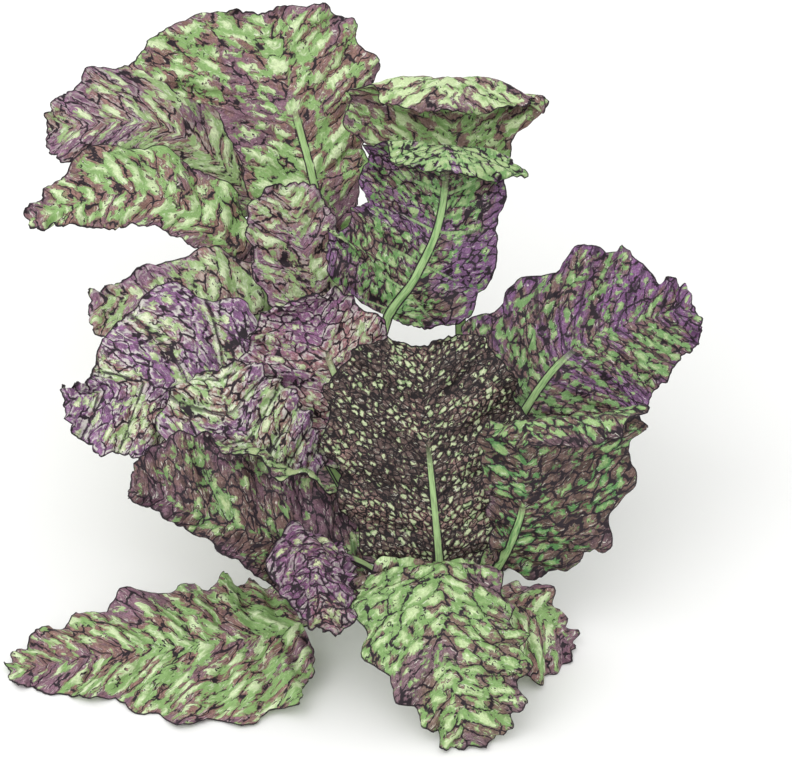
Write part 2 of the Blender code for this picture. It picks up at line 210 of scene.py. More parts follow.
leafForm = {
    "rootGap": 0.5,          # clear space between a stalk's foot and the crown
    "bladeThick": 0.8,
    "rimThick": 0.6,
    "stalkThick": 4.6,       # at the foot, tapering along the midrib
    "ribTipThick": 1.2,
    "stalkHalf": 3.8,        # half widths of the stalk, its neck and the midrib
    "neckHalf": 3.2,
    "ribHalf": 2.6,
    "floorClear": 0.1,
    "lastVein": 0.965,       # the last side vein, as a share of the way round the margin
    "widestShift": 1.25,
    "tipPower": 0.72,
    "scallop": 0.07,
    "stalkRows": 14,
    "rowsPerMm": 0.92,
    "columnsPerMm": 1.1,
    "fewestColumns": 36,
    "lobeLength": 8.5,       # small lobes along the margin, mm, and how they wander
    "lobeSize": 1.5,
    "lobeWaves": ((31.0, 0.9),),
    "toothWaves": ((19.0, 0.8), (5.1, 0.25)),    # length and height, mm
    "tipWaves": ((9.0, 0.5), (5.0, 0.3)),
    "thinRim": 3,            # mm over which the blade thins towards its margin
    "pressSoftness": 1.5,    # mm over which a leaf that lies on the floor flattens
    "channelDepth": 0.9,     # the groove along the stalk, mm
    "channelHalf": 2.0,
}

leafUsual = {
    "roll": (0, 0), "cup": (12, 12), "fold": (0, 0), "crease": (0.45, 0.9), "curl": 0,
    "curlLength": 40, "fan": 1.5, "notch": (0, 0), "pleats": 7, "pleat": 2.2, "ruffle": 3.0,
    "phase": 0.0, "base": 1.0, "trim": ((1,) * 6, (1,) * 6), "lies": False,
    "paleRib": (0, 0),       # how far the midrib shows on the upper face, from base to tip
    "veinsPerPleat": 1,
    "veinLean": 0.5,         # how far the skin's pattern leans forward from the midrib
}


def crownRadius(height):
    profile = [(h, r) for r, h in crownProfile[1:-1]][::-1]
    return float(np.interp(height, [h for h, _ in profile], [r for _, r in profile]))


def curveThrough(points, steps=400):
    points = np.array(points, float)
    ends = np.vstack([2 * points[0] - points[1], points, 2 * points[-1] - points[-2]])
    t = np.linspace(0.0, 1.0, 60)[:, None]
    walk = np.vstack([0.5 * (2 * b + (c - a) * t + (2 * a - 5 * b + 4 * c - d) * t**2
                             + (3 * b - a - 3 * c + d) * t**3)
                      for a, b, c, d in zip(ends, ends[1:], ends[2:], ends[3:])])
    gaps = np.linalg.norm(np.diff(walk, axis=0), axis=1)
    walk = walk[np.concatenate([[True], gaps > 1e-9])]
    along = np.concatenate([[0.0], np.cumsum(np.linalg.norm(np.diff(walk, axis=0), axis=1))])
    even = np.linspace(0.0, along[-1], steps)
    return even, np.column_stack([np.interp(even, along, walk[:, k]) for k in range(3)])


def turned(vectors, about, angles):
    c, s = np.cos(angles)[:, None], np.sin(angles)[:, None]
    dot = (vectors * about).sum(1, keepdims=True)
    return vectors * c + np.cross(about, vectors) * s + about * dot * (1 - c)


def midribOf(leaf):
    azimuth, height = math.radians(leaf["root"][0]), leaf["root"][1]
    stations = [fromLeaning(*p) for p in leaf["stations"]]
    reach = max(crownRadius(height + d) for d in (-3, 0, 3)) + leafForm["rootGap"]
    foot = np.array([reach * math.cos(azimuth), reach * math.sin(azimuth), height])
    first = np.array(stations[0]) - foot
    climb = abs(first[2]) / np.linalg.norm(first)
    foot[:2] *= (reach + 0.55 * leafForm["stalkThick"] * climb) / reach
    along, place = curveThrough([foot, *stations])
    forward = np.gradient(place, axis=0)
    forward /= np.linalg.norm(forward, axis=1, keepdims=True)
    share = along / along[-1]
    start, end = np.radians(leaf["heading"])
    heading = start + (end - start) * smooth(share * 1.4 - 0.3)
    side = np.column_stack([-np.sin(heading), np.cos(heading), 0 * heading])
    side -= forward * (side * forward).sum(1, keepdims=True)
    side /= np.linalg.norm(side, axis=1, keepdims=True)
    start, end = np.radians(leaf["roll"])
    side = turned(side, forward, start + (end - start) * share)
    if leaf["curl"]:             # the last stretch rolls towards the upper face
        length = leaf["curlLength"]
        bend = np.radians(leaf["curl"]) * smooth((along - along[-1] + length) / length)
        forward = turned(forward, side, -bend)
        moved = np.cumsum((forward[1:] + forward[:-1]) / 2 * along[1], axis=0)
        last = int(np.argmax(bend > 0)) - 1
        place[last + 1:] = place[last] + moved[last:] - moved[last - 1]
    return {"along": along, "length": along[-1],
            "tracks": (place, forward, side, np.cross(forward, side))}


def midribAt(midrib, distance):
    inside = np.clip(distance, 0.0, midrib["length"])
    tracks = [np.column_stack([np.interp(inside, midrib["along"], part[:, k]) for k in range(3)])
              for part in midrib["tracks"]]
    tracks[0] += tracks[1] * (distance - inside)[:, None]
    return tracks


def halfBend(leaf, k):
    width = leaf["widths"][k]
    reach = np.linspace(0.0, 1.6 * width, 160)
    share = reach / width
    low, high = leaf["crease"]
    slope = np.radians(leaf["cup"][k] * share
                       + leaf["fold"][k] * smooth((share - low) / (high - low)))
    out = np.concatenate([[0.0], np.cumsum(np.cos(slope[1:]) * reach[1])])
    up = np.concatenate([[0.0], np.cumsum(np.sin(slope[1:]) * reach[1])])
    return reach, out, up, slope


def crinkle(distance, seed, *waves):
    shifts = np.random.default_rng(seed).uniform(0, 2 * math.pi, len(waves))
    return sum(size * np.sin(2 * math.pi * distance / length + shift)
               for (length, size), shift in zip(waves, shifts))


def flatLeaf(leaf, stalkLength):
    form = leafForm
    bladeRows = round(leaf["blade"] * form["rowsPerMm"])
    columns = max(form["fewestColumns"],
                  2 * round(max(leaf["widths"]) * form["columnsPerMm"] / 2))
    rows = np.concatenate([np.linspace(-1, 0, form["stalkRows"] + 1)[:-1],
                           np.linspace(0, 1, bladeRows + 1)])
    steps = np.linspace(-1, 1, columns + 1)
    row, column = np.meshgrid(rows, np.sign(steps) * np.abs(steps) ** 1.2, indexing="ij")
    side = np.where(column > 0, 1.0, -1.0)
    share = np.clip(row, 0.0, 1.0) * form["lastVein"]
    turns = 2 * math.pi * leaf["pleats"] * share + leaf["phase"]
    wave = 1 + form["scallop"] * np.cos(turns) + 0.4 * form["scallop"] * np.sin(0.43 * turns + 2)
    power = leaf["base"] + (form["tipPower"] - leaf["base"]) * share
    kept = [w * np.interp(share, np.linspace(0, 1, len(t)), t)
            for w, t in zip(leaf["widths"], leaf["trim"])]
    half = np.where(column > 0, kept[0], kept[1])
    neck = form["neckHalf"] + (form["stalkHalf"] - form["neckHalf"]) * np.clip(-row, 0.0, 1.0)
    bulge = np.maximum(np.sin(math.pi * share ** form["widestShift"]), 0.0) ** power
    marginOut = neck * (1 - share) + half * bulge * wave
    marginAlong = leaf["blade"] * (1 - np.cos(math.pi * share)) / 2
    notch = np.where(column > 0, *leaf["notch"])
    marginAlong = marginAlong + notch * np.sin(math.pi * share) * share**3 * 4
    # small lobes and teeth of the margin, pushed outwards in the plane of the blade
    walk = 1.35 * leaf["blade"] * share * side
    wander = crinkle(walk, leaf["seed"] + 50, *form["lobeWaves"])
    lobes = np.abs(np.sin(math.pi * walk / form["lobeLength"] + wander))
    teeth = crinkle(walk, leaf["seed"], *form["toothWaves"]) + form["lobeSize"] * lobes**0.6
    teeth = teeth * smooth(share / 0.1)
    marginOut = marginOut + teeth * np.sin(math.pi * share) * 0.9
    marginAlong = marginAlong - teeth * np.cos(math.pi * share)
    ribAlong = leaf["blade"] * np.clip(row, 0.0, 1.0) ** leaf["fan"]
    out = np.abs(column)
    along = np.where(row < 0, row * stalkLength, ribAlong + (marginAlong - ribAlong) * out**1.15)
    tipTeeth = crinkle(column * marginOut, leaf["seed"] + 90, *form["tipWaves"])
    along = along + tipTeeth * smooth((row - 0.9) / 0.1)
    return {"row": row, "column": column, "side": side, "share": share, "turns": turns,
            "out": out, "along": along, "across": column * marginOut,
            "gap": np.minimum((1 - out) * np.abs(marginOut), (1 - row) * 0.9 * leaf["blade"])}


def leafSheet(leaf):
    form = leafForm
    midrib = midribOf(leaf)
    stalkLength = midrib["length"] - leaf["blade"]
    flat = flatLeaf(leaf, stalkLength)
    shape = flat["row"].shape
    row, side, share, turns, edge, across, gap = (
        flat[name].ravel() for name in ("row", "side", "share", "turns", "out", "across", "gap"))
    distance = flat["along"].ravel() + stalkLength
    place, forward, sideways, up = midribAt(midrib, distance)
    reach = np.abs(across)
    left, right = halfBend(leaf, 0), halfBend(leaf, 1)
    outward, lifted, slope = (np.where(side > 0, np.interp(reach, left[0], left[k]),
                                       np.interp(reach, right[0], right[k])) for k in (1, 2, 3))
    points = place + sideways * (side * outward)[:, None] + up * lifted[:, None]
    normal = up * np.cos(slope)[:, None] - sideways * (side * np.sin(slope))[:, None]
    grown = smooth(share / 0.12)
    pleat = 1 - 2 * np.abs(np.sin(turns / 2)) ** 3
    height = grown * (leaf["pleat"] * pleat * smooth(edge / 0.5)
                      + leaf["ruffle"] * np.sin(turns / 2 + 1.7 * side) * edge**3
                      + 0.4 * leaf["ruffle"] * np.sin(1.9 * turns + 2.6 * side) * edge**6)
    points = points + normal * height[:, None]

    # the stalk and the midrib stand out of the blade, and thin towards the tip
    rib = form["stalkThick"] + (form["ribTipThick"] - form["stalkThick"]) * np.clip(
        distance / midrib["length"], 0, 1)
    onStalk = smooth((stalkLength * 1.02 - distance) / (0.12 * midrib["length"]))
    lens = np.sqrt(np.clip(1.0 - 0.8 * edge**2, 0.0, 1.0))
    onBlade = np.clip((distance - stalkLength) / midrib["length"], 0, 1)
    halfRib = form["ribHalf"] * (1 - 0.7 * onBlade)
    mask = onStalk * lens + (1 - onStalk) * np.exp(-(reach / halfRib) ** 2)
    blade = form["rimThick"] + (form["bladeThick"] - form["rimThick"]) * smooth(
        gap / form["thinRim"])
    thick = np.maximum(blade, rib * mask)
    start, end = leaf["paleRib"]
    shown = np.clip(start + (end - start) * smooth((distance - stalkLength) / leaf["blade"]), 0, 1)
    shown = onStalk + (1 - onStalk) * shown
    above = blade / 2 + (thick - blade) / 2 * shown
    if leaf["lies"]:             # presses onto the floor whatever would sink below it
        lowest = thick - above + form["floorClear"]
        soft = form["pressSoftness"]
        over = (points[:, 2] - lowest) / soft
        pressed = np.log1p(np.exp(np.minimum(over, 30)))
        points[:, 2] = lowest + soft * np.where(over > 30, over, pressed)
    room = smooth((points[:, 2] - 1.2) / 3.0) if leaf["lies"] else 1.0
    grid = points.reshape(*shape, 3)
    wrapFoot(grid, flat["across"], leaf)
    lift = np.cross(np.gradient(grid, axis=0), np.gradient(grid, axis=1)).reshape(-1, 3)
    lift /= np.maximum(np.linalg.norm(lift, axis=1, keepdims=True), 1e-12)
    veinLine = np.column_stack([across, distance - leaf["veinLean"] * reach,
                                0 * row + leaf["seed"] * 37.0])
    spacing = leaf["blade"] * 0.9 / leaf["pleats"] / leaf["veinsPerPleat"]
    sideVein = np.abs(np.mod(turns * leaf["veinsPerPleat"] / (2 * math.pi), 1.0) - 0.5) * spacing
    return shape, {"points": grid.reshape(-1, 3), "lift": lift, "veinLine": veinLine,
                   "above": above, "below": thick - above, "ribMask": mask,
                   "ribShown": shown, "marginGap": gap, "onStalk": onStalk,
                   "sideVein": np.where(row > 0.02, sideVein, 9.0),
                   "tissue": grown * (1 - np.clip(mask * (0.5 + 0.8 * shown), 0, 1)) * room,
                   "channel": onStalk * np.exp(-(across / form["channelHalf"]) ** 2)}


def wrapFoot(grid, across, leaf):
    foot = grid[0]
    middle = foot[len(foot) // 2].copy()
    radius = math.hypot(middle[0], middle[1])
    turn = math.radians(leaf["root"][0]) + across[0] / radius
    foot[:, 0], foot[:, 1] = radius * np.cos(turn), radius * np.sin(turn)
    foot[:, 2] = middle[2]


def leafMesh(leaf):
    (rowCount, columnCount), sheet = leafSheet(leaf)
    count = rowCount * columnCount
    upper = sheet["above"] - leafForm["channelDepth"] * sheet["channel"]
    top = sheet["points"] + sheet["lift"] * upper[:, None]
    bottom = sheet["points"] - sheet["lift"] * sheet["below"][:, None]
    ids = np.arange(count).reshape(rowCount, columnCount)
    quads = np.stack([ids[:-1, :-1], ids[1:, :-1], ids[1:, 1:], ids[:-1, 1:]],
                     axis=2).reshape(-1, 4)
    ring = np.concatenate([ids[0, :-1], ids[:-1, -1], ids[-1, :0:-1], ids[:0:-1, 0]])
    after = np.roll(ring, -1)
    walls = np.stack([ring, after, after + count, ring + count], axis=1)
    faces = np.vstack([quads, quads[:, ::-1] + count, walls])
    mesh = bpy.data.meshes.new(leaf["name"])
    mesh.from_pydata((np.vstack([top, bottom]) * mm).tolist(), [], faces.tolist())
    for name in ("veinLine", "lift"):
        layer = mesh.attributes.new(name, "FLOAT_VECTOR", "POINT")
        layer.data.foreach_set("vector", np.vstack([sheet[name]] * 2).ravel())
    for name in ("ribMask", "ribShown", "marginGap", "tissue", "onStalk", "sideVein"):
        layer = mesh.attributes.new(name, "FLOAT", "POINT")
        layer.data.foreach_set("value", np.tile(sheet[name], 2))
    layer = mesh.attributes.new("under", "FLOAT", "POINT")
    layer.data.foreach_set("value", np.repeat([0.0, 1.0], count))
    return mesh


# Blisters between the veins, raised by Geometry Nodes

def attributeOf(tree, name, kind):
    node = tree.nodes.new("GeometryNodeInputNamedAttribute")
    node.data_type = kind
    node.inputs["Name"].default_value = name
    return node.outputs["Attribute"]


def blisterTree():
    tree = bpy.data.node_groups.new("leafBlisters", "GeometryNodeTree")
    tree.is_modifier = True
    addSocket(tree, "Geometry", "Geometry")
    for name, value in (("Blister Height", 1.0), ("Cell Length", 9.0), ("Cell Width", 6.0),
                        ("Wander", 7.0), ("Wrinkle Height", 1.2)):
        addSocket(tree, name, "Float", value)
    addSocket(tree, "Skin", "Material")
    addSocket(tree, "Geometry", "Geometry", out=True)
    given = tree.nodes.new("NodeGroupInput").outputs
    place = wandering(tree, attributeOf(tree, "veinLine", "FLOAT_VECTOR"), given["Wander"], 0.11)
    dome = rise(tree, cells(tree, place, given["Cell Length"], given["Cell Width"]), 0.0, 0.38)
    domes = calc(tree, "MULTIPLY", calc(tree, "SUBTRACT", dome, 0.55), given["Blister Height"])
    folds = calc(tree, "MULTIPLY", calc(tree, "SUBTRACT", noise(tree, place, 0.28), 0.5),
                 given["Wrinkle Height"])
    height = calc(tree, "MULTIPLY", calc(tree, "ADD", domes, folds),
                  attributeOf(tree, "tissue", "FLOAT"))
    push = vectorCalc(tree, "SCALE", attributeOf(tree, "lift", "FLOAT_VECTOR"),
                      calc(tree, "MULTIPLY", height, mm))
    move = tree.nodes.new("GeometryNodeSetPosition")
    real = tree.nodes.new("GeometryNodeRealizeInstances")
    skin = tree.nodes.new("GeometryNodeSetMaterial")
    end = tree.nodes.new("NodeGroupOutput")
    feed(tree, move.inputs["Geometry"], given["Geometry"])
    feed(tree, move.inputs["Offset"], push)
    feed(tree, real.inputs["Geometry"], move.outputs["Geometry"])
    feed(tree, skin.inputs["Geometry"], real.outputs["Geometry"])
    feed(tree, skin.inputs["Material"], given["Skin"])
    feed(tree, end.inputs["Geometry"], skin.outputs["Geometry"])
    return tree


def grownWith(tree, source, name, values):
    modifier = source.modifiers.new("shape", "NODES")
    modifier.node_group = tree
    for item in tree.interface.items_tree:
        if item.in_out == "INPUT" and item.name in values:
            modifier[item.identifier] = values[item.name]
    bpy.context.view_layer.update()
    shaped = source.evaluated_get(bpy.context.evaluated_depsgraph_get())
    mesh = bpy.data.meshes.new_from_object(shaped)
    mesh.name = name
    bpy.data.objects.remove(source, do_unlink=True)
    mesh.shade_smooth()
    piece = bpy.data.objects.new(name, mesh)
    bpy.context.scene.collection.objects.link(piece)
    return piece


# Leaf skin: one shader group, with its own values in each material

paleTissueAndHighlight = (0.78, 0.80, 0.68, 1)    # pale tissue where the skin shows neither green nor purple, and the colour of the painted highlights


def surface(tree, name, output="Fac"):
    node = tree.nodes.new("ShaderNodeAttribute")
    node.attribute_name = name
    return node.outputs[output]


def grey(tree, value):
    node = tree.nodes.new("ShaderNodeCombineColor")
    for target in node.inputs:
        feed(tree, target, value)
    return node.outputs[0]


def leafSkinTree():
    tree = bpy.data.node_groups.new("leafSkin", "ShaderNodeTree")
    for name in ("Light", "Green", "Blotch", "Accent", "Ink", "Rib"):
        addSocket(tree, name, "Color", (0.5, 0.5, 0.5, 1))
    for name in ("Blotch Share", "Accent Share", "Cell Length", "Cell Width", "Curl Share",
                 "Wander", "Ink Width", "Crease Pull", "Cell Change", "Depth", "Net", "Under Fade",
                 "Painted Highlight", "Pale Vein", "Vein Reach", "Dark Vein", "Vein Pull"):
        addSocket(tree, name, "Float", 0.5)
    addSocket(tree, "Colour", "Color", out=True)
    addSocket(tree, "Roughness", "Float", out=True)
    addSocket(tree, "Height", "Float", out=True)
    given = tree.nodes.new("NodeGroupInput").outputs

    def less(value, low, high):
        return calc(tree, "SUBTRACT", 1.0, rise(tree, value, low, high))

    def times(*values):
        total = values[0]
        for value in values[1:]:
            total = calc(tree, "MULTIPLY", total, value)
        return total

    def plus(total, *pairs):
        for value, weight in pairs:
            total = calc(tree, "MULTIPLY_ADD", value, weight, total)
        return total

    gap, under = surface(tree, "marginGap"), surface(tree, "under")
    rib, shown = surface(tree, "ribMask"), rise(tree, surface(tree, "ribShown"), 0.25, 0.55)
    stalk, vein = surface(tree, "onStalk"), surface(tree, "sideVein")
    line = surface(tree, "veinLine", "Vector")
    split = tree.nodes.new("ShaderNodeSeparateXYZ")
    feed(tree, split.inputs[0], line)
    fromRib = calc(tree, "ABSOLUTE", split.outputs["X"])
    place = wandering(tree, wandering(tree, line, given["Wander"], 0.11), 2.2, 0.5)
    edge = cells(tree, place, given["Cell Length"], given["Cell Width"])
    fromEdge = times(edge, given["Cell Width"])
    cellSplit = tree.nodes.new("ShaderNodeSeparateColor")
    feed(tree, cellSplit.inputs[0],
         cells(tree, place, given["Cell Length"], given["Cell Width"], "Color"))
    ownTone = calc(tree, "SUBTRACT", cellSplit.outputs[0], 0.5)
    dome = rise(tree, edge, 0.0, 0.4)
    grain = noise(tree, place, 1.1, 2.0, 0.7)
    hatch = noise(tree, stretched(tree, place, 4.0, 0.7, 20.0), 1.0, 2.0, 0.6)
    small = noise(tree, place, 0.33, 3.0, 0.6)
    patch = noise(tree, stretched(tree, place, plus(2.6, (given["Cell Length"], 0.36)),
                                  plus(2.4, (given["Cell Width"], 0.65)), 20.0), 1.0, 3.0, 0.6)
    murk = noise(tree, stretched(tree, place, 5.0, 3.2, 9.0), 1.0, 2.0, 0.6)
    broad = noise(tree, stretched(tree, place, 45.0, 33.0, 20.0), 1.0, 2.0, 0.5)

    # blotches gather in the creases, along the margin and beside the side veins
    nearRim = less(gap, 0.5, 9.0)
    nearVein = less(vein, 0.8, 4.5)
    inCrease = calc(tree, "SUBTRACT", less(edge, 0.0, 0.34), 0.4)
    field = plus(-0.12, (patch, 1.3), (broad, 0.60), (small, 0.30), (nearRim, 0.10), (hatch, 0.05),
                 (times(under, given["Under Fade"]), -1.0),
                 (times(inCrease, given["Crease Pull"]), 1.0),
                 (times(ownTone, given["Cell Change"]), 1.0),
                 (times(nearVein, given["Vein Pull"]), 1.0))
    over = calc(tree, "SUBTRACT", field, calc(tree, "SUBTRACT", 1.55, given["Blotch Share"]))
    blotch = rise(tree, over, -0.03, 0.06)
    accent = plus(0.0, (nearRim, 0.12), (broad, 1.0), (small, 0.35))
    accent = calc(tree, "ADD", accent, times(nearVein, given["Vein Pull"]))
    accent = calc(tree, "SUBTRACT", accent, calc(tree, "SUBTRACT", 1.2, given["Accent Share"]))
    # the green pales at random and on the undersides, and is lighter on the blister domes and
    # darker towards the creases between them as painted light
    domeHighlightAndTone = plus(0.0, (small, 0.7), (dome, 0.35), (under, 0.15))
    green = mixed(tree, rise(tree, domeHighlightAndTone, 0.40, 0.72), given["Green"], given["Light"])
    tint = mixed(tree, rise(tree, accent, -0.08, 0.10), given["Blotch"], given["Accent"])
    colour = mixed(tree, calc(tree, "MULTIPLY", blotch, 0.94), green, tint)
    worn = plus(0.34, (grain, 1.0), (hatch, 0.32))
    scuffed = plus(-0.55, (grain, 2.5), (hatch, 0.6))
    shade = times(rise(tree, murk, 0.42, 0.62), given["Depth"])
    scuffed = times(scuffed, calc(tree, "SUBTRACT", 1.12, shade))
    worn = mixed(tree, blotch, grey(tree, worn), grey(tree, scuffed))
    colour = mixed(tree, 1.0, colour, worn, "MULTIPLY")

    # painted highlights: pale bands on the crests beside the creases, beside the dark side veins
    # and just inside the margin; and flecks of bare paper-pale tissue
    crestHighlight = times(rise(tree, fromEdge, 0.30, 0.60), less(fromEdge, 0.8, 1.7),
                  rise(tree, small, 0.47, 0.58), given["Painted Highlight"])
    veinHighlight = times(rise(tree, vein, 0.7, 1.0), less(vein, 1.5, 2.3),
                      rise(tree, small, 0.42, 0.52), given["Painted Highlight"], given["Dark Vein"])
    fleck = times(rise(tree, hatch, 0.56, 0.70), rise(tree, small, 0.40, 0.60), 0.7)
    rimHighlight = times(less(calc(tree, "ABSOLUTE", calc(tree, "SUBTRACT", gap, 1.8)), 0.3, 0.9),
                rise(tree, murk, 0.44, 0.54), given["Painted Highlight"])
    fleckAndHighlight = calc(tree, "MAXIMUM", calc(tree, "MAXIMUM", crestHighlight, fleck),
                calc(tree, "MAXIMUM", veinHighlight, rimHighlight))
    colour = mixed(tree, fleckAndHighlight, colour, paleTissueAndHighlight)

    # dark broken lines: in the creases, round some blotches, and in small curls
    inked = plus(-1.0, (patch, 1.0), (given["Net"], 1.0))
    crease = times(less(fromEdge, times(given["Ink Width"], 0.45), given["Ink Width"]),
                   rise(tree, inked, 0.42, 0.50))
    coast = times(less(calc(tree, "ABSOLUTE", over), 0.010, 0.028), rise(tree, small, 0.50, 0.58))
    curls = tree.nodes.new("ShaderNodeTexVoronoi")
    feed(tree, curls.inputs["Vector"], place)
    feed(tree, curls.inputs["Scale"], 0.30)
    ring = less(calc(tree, "ABSOLUTE", calc(tree, "SUBTRACT", curls.outputs["Distance"], 0.30)),
                0.05, 0.11)
    where = calc(tree, "ADD", noise(tree, place, 0.19, 1.0), given["Curl Share"])
    curl = times(ring, rise(tree, where, 0.66, 0.74))
    offRib = calc(tree, "SUBTRACT", 1.0, times(rise(tree, rib, 0.15, 0.4), shown))
    darkVein = times(less(vein, 0.30, 0.85), given["Dark Vein"], rise(tree, small, 0.36, 0.48))
    dark = calc(tree, "MAXIMUM", calc(tree, "MAXIMUM", crease, coast),
                calc(tree, "MAXIMUM", curl, darkVein))
    colour = mixed(tree, times(dark, offRib), colour, given["Ink"])

    # pale side veins, midrib and stalk, and the dark margin
    nearRib = less(calc(tree, "DIVIDE", fromRib, given["Vein Reach"]), 0.4, 1.0)
    paleVein = times(less(vein, 0.35, 0.95), nearRib, given["Pale Vein"])
    streak = noise(tree, stretched(tree, line, 0.8, 9.0, 9.0), 1.0, 2.0, 0.6)
    ribColour = mixed(tree, rise(tree, streak, 0.35, 0.75), given["Rib"], given["Green"])
    colour = mixed(tree, paleVein, colour, ribColour)
    colour = mixed(tree, times(rise(tree, rib, 0.42, 0.54), shown), colour, ribColour)
    ribLine = times(rise(tree, rib, 0.16, 0.26), less(rib, 0.40, 0.54), shown,
                    calc(tree, "SUBTRACT", 1.0, stalk), rise(tree, small, 0.32, 0.44))
    colour = mixed(tree, ribLine, colour, given["Ink"])
    colour = mixed(tree, less(gap, 0.30, 0.95), colour, given["Ink"])

    relief = plus(0.0, (small, 0.5), (dome, 0.8), (grain, 0.16))
    end = tree.nodes.new("NodeGroupOutput").inputs
    feed(tree, end["Colour"], colour)
    feed(tree, end["Roughness"], calc(tree, "MULTIPLY_ADD", grain, 0.22, 0.5))
    feed(tree, end["Height"], calc(tree, "MULTIPLY", relief, offRib))
    return tree


leafPaint = {
    "lightSkin": {
        "Light": paint(204, 220, 174), "Green": paint(134, 168, 104),
        "Blotch": paint(132, 94, 92), "Accent": paint(124, 84, 108),
        "Blotch Share": 0.51, "Accent Share": 0.44, "Cell Length": 20.0, "Cell Width": 9.0,
        "Wander": 8.0, "Curl Share": 0.05, "Net": 0.98},
    "frontSkin": {
        "Light": paint(188, 208, 156), "Green": paint(124, 158, 96),
        "Blotch": paint(118, 92, 86), "Accent": paint(116, 84, 100),
        "Blotch Share": 0.48, "Accent Share": 0.42, "Cell Length": 14.0, "Cell Width": 7.8,
        "Wander": 6.0, "Curl Share": 0.09},
    "rolledSkin": {
        "Light": paint(192, 210, 160), "Green": paint(128, 162, 98),
        "Blotch": paint(122, 90, 88), "Accent": paint(118, 82, 102),
        "Blotch Share": 0.56, "Accent Share": 0.42, "Cell Length": 18.0, "Cell Width": 8.0,
        "Wander": 8.0, "Curl Share": 0.05, "Net": 0.99},
    "russetSkin": {
        "Light": paint(208, 220, 180), "Green": paint(146, 172, 116),
        "Blotch": paint(136, 98, 98), "Accent": paint(128, 84, 118),
        "Blotch Share": 0.535, "Accent Share": 0.48, "Cell Length": 16.0, "Cell Width": 8.0,
        "Wander": 6.0, "Curl Share": 0.04, "Net": 0.98, "Painted Highlight": 0.3},
    "mixedSkin": {
        "Light": paint(208, 216, 178), "Green": paint(150, 174, 120),
        "Blotch": paint(134, 92, 98), "Accent": paint(124, 76, 126),
        "Blotch Share": 0.65, "Accent Share": 0.6, "Cell Length": 11.0, "Cell Width": 6.5,
        "Wander": 5.0, "Depth": 0.5, "Painted Highlight": 0.6, "Dark Vein": 0.9, "Vein Pull": -0.12},
    "fanSkin": {
        "Light": paint(210, 218, 180), "Green": paint(146, 174, 118),
        "Blotch": paint(136, 98, 96), "Accent": paint(124, 78, 124),
        "Blotch Share": 0.62, "Accent Share": 0.53, "Cell Length": 10.0, "Cell Width": 6.0,
        "Wander": 5.0, "Depth": 0.5, "Painted Highlight": 0.6, "Dark Vein": 0.9, "Vein Pull": -0.12},
    "innerSkin": {
        "Light": paint(208, 216, 178), "Green": paint(152, 172, 124),
        "Blotch": paint(146, 100, 108), "Accent": paint(134, 82, 128),
        "Blotch Share": 0.65, "Accent Share": 0.53, "Cell Length": 8.0, "Cell Width": 5.5,
        "Wander": 3.5, "Depth": 0.5, "Painted Highlight": 0.6},
    "wineSkin": {
        "Light": paint(196, 204, 160), "Green": paint(150, 164, 120),
        "Blotch": paint(126, 80, 94), "Accent": paint(110, 62, 106),
        "Blotch Share": 0.68, "Accent Share": 0.6, "Cell Length": 7.0, "Cell Width": 5.5,
        "Wander": 3.0, "Net": 1.03, "Depth": 0.6, "Painted Highlight": 0.3},
    "plumSkin": {
        "Light": paint(164, 186, 134), "Green": paint(112, 148, 92),
        "Blotch": paint(118, 86, 88), "Accent": paint(120, 74, 124),
        "Blotch Share": 0.45, "Accent Share": 0.37, "Cell Length": 9.0, "Cell Width": 6.0,
        "Wander": 3.5, "Depth": 0.4, "Dark Vein": 0.8, "Vein Pull": 0.18},
    "duskSkin": {
        "Light": paint(166, 188, 134), "Green": paint(104, 146, 86),
        "Blotch": paint(110, 80, 82), "Accent": paint(118, 76, 122),
        "Blotch Share": 0.55, "Accent Share": 0.5, "Cell Length": 7.0, "Cell Width": 5.0,
        "Wander": 3.0, "Curl Share": 0.05, "Crease Pull": 0.2, "Cell Change": 0.15,
        "Under Fade": 0.25, "Pale Vein": 0.8},
    # darker paints for the hood leaf: its own brown-maroon colour, darkened over the whole leaf as
    # painted shade of its shaded lower part
    "dimShadedSkin": {
        "Light": paint(168, 184, 134), "Green": paint(110, 142, 88),
        "Blotch": paint(108, 78, 78), "Accent": paint(104, 68, 90),
        "Blotch Share": 0.61, "Accent Share": 0.46, "Cell Length": 12.0, "Cell Width": 7.0,
        "Wander": 5.5, "Net": 1.04, "Cell Change": 0.15, "Depth": 0.6, "Under Fade": 0.2},
    # dark greens for the leaf down in the hollow: its own green with the painted shade of the
    # hollow
    "shadedHollowSkin": {
        "Light": paint(146, 176, 116), "Green": paint(86, 134, 78),
        "Blotch": paint(106, 78, 76), "Accent": paint(98, 66, 84),
        "Blotch Share": 0.6, "Accent Share": 0.4, "Cell Length": 10.0, "Cell Width": 5.0,
        "Wander": 5.5, "Net": 1.06, "Cell Change": 0.15, "Depth": 0.6},
    "heartSkin": {
        "Light": paint(192, 202, 162), "Green": paint(126, 148, 104),
        "Blotch": paint(132, 100, 98), "Accent": paint(80, 56, 60), "Ink": paint(22, 14, 18),
        "Blotch Share": 0.66, "Accent Share": 0.56, "Cell Length": 4.0, "Cell Width": 3.6,
        "Wander": 1.5, "Curl Share": 0.2, "Ink Width": 0.42, "Net": 1.1, "Crease Pull": 0.35,
        "Cell Change": 0.35, "Depth": 0.7},
}
paintUsual = {
    "Ink": paint(34, 24, 32), "Rib": paint(166, 198, 136), "Net": 1.0, "Ink Width": 0.5,
    "Curl Share": 0.0, "Crease Pull": 0.14, "Cell Change": 0.06, "Depth": 0.3,
    "Under Fade": 0.07, "Painted Highlight": 0.0, "Pale Vein": 0.0, "Vein Reach": 26.0,
    "Dark Vein": 0.0, "Vein Pull": 0.0}
skinValues = {name: {**paintUsual, **values} for name, values in leafPaint.items()}
